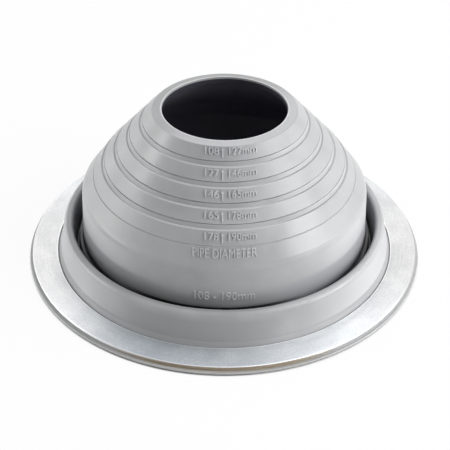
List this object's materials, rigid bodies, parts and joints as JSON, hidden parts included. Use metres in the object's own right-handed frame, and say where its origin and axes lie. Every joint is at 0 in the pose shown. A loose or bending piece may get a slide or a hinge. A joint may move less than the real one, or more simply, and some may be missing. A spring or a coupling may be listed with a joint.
{
  "type": "pipe flashing",
  "caption": "Round roof flashing for a pipe: a stepped rubber cone cut to suit the pipe, with a folded collar and a ribbed base flange under a flat aluminium ring.",
  "frame": {"origin": "centre of the base underside, on the surface that the flashing is laid on", "axes": "+Z along the pipe's axis, away from the roof; X and Y in the plane of the base"},
  "size_m": [0.2846, 0.2846, 0.1157],
  "materials": {
    "rubber": "satin moulded",
    "aluminium": "mill finish, fine circular brushing"
  },
  "bodies": {
    "root": {"rubber_boot": "rubber", "aluminium_ring": "aluminium"}
  },
  "joints": []
}
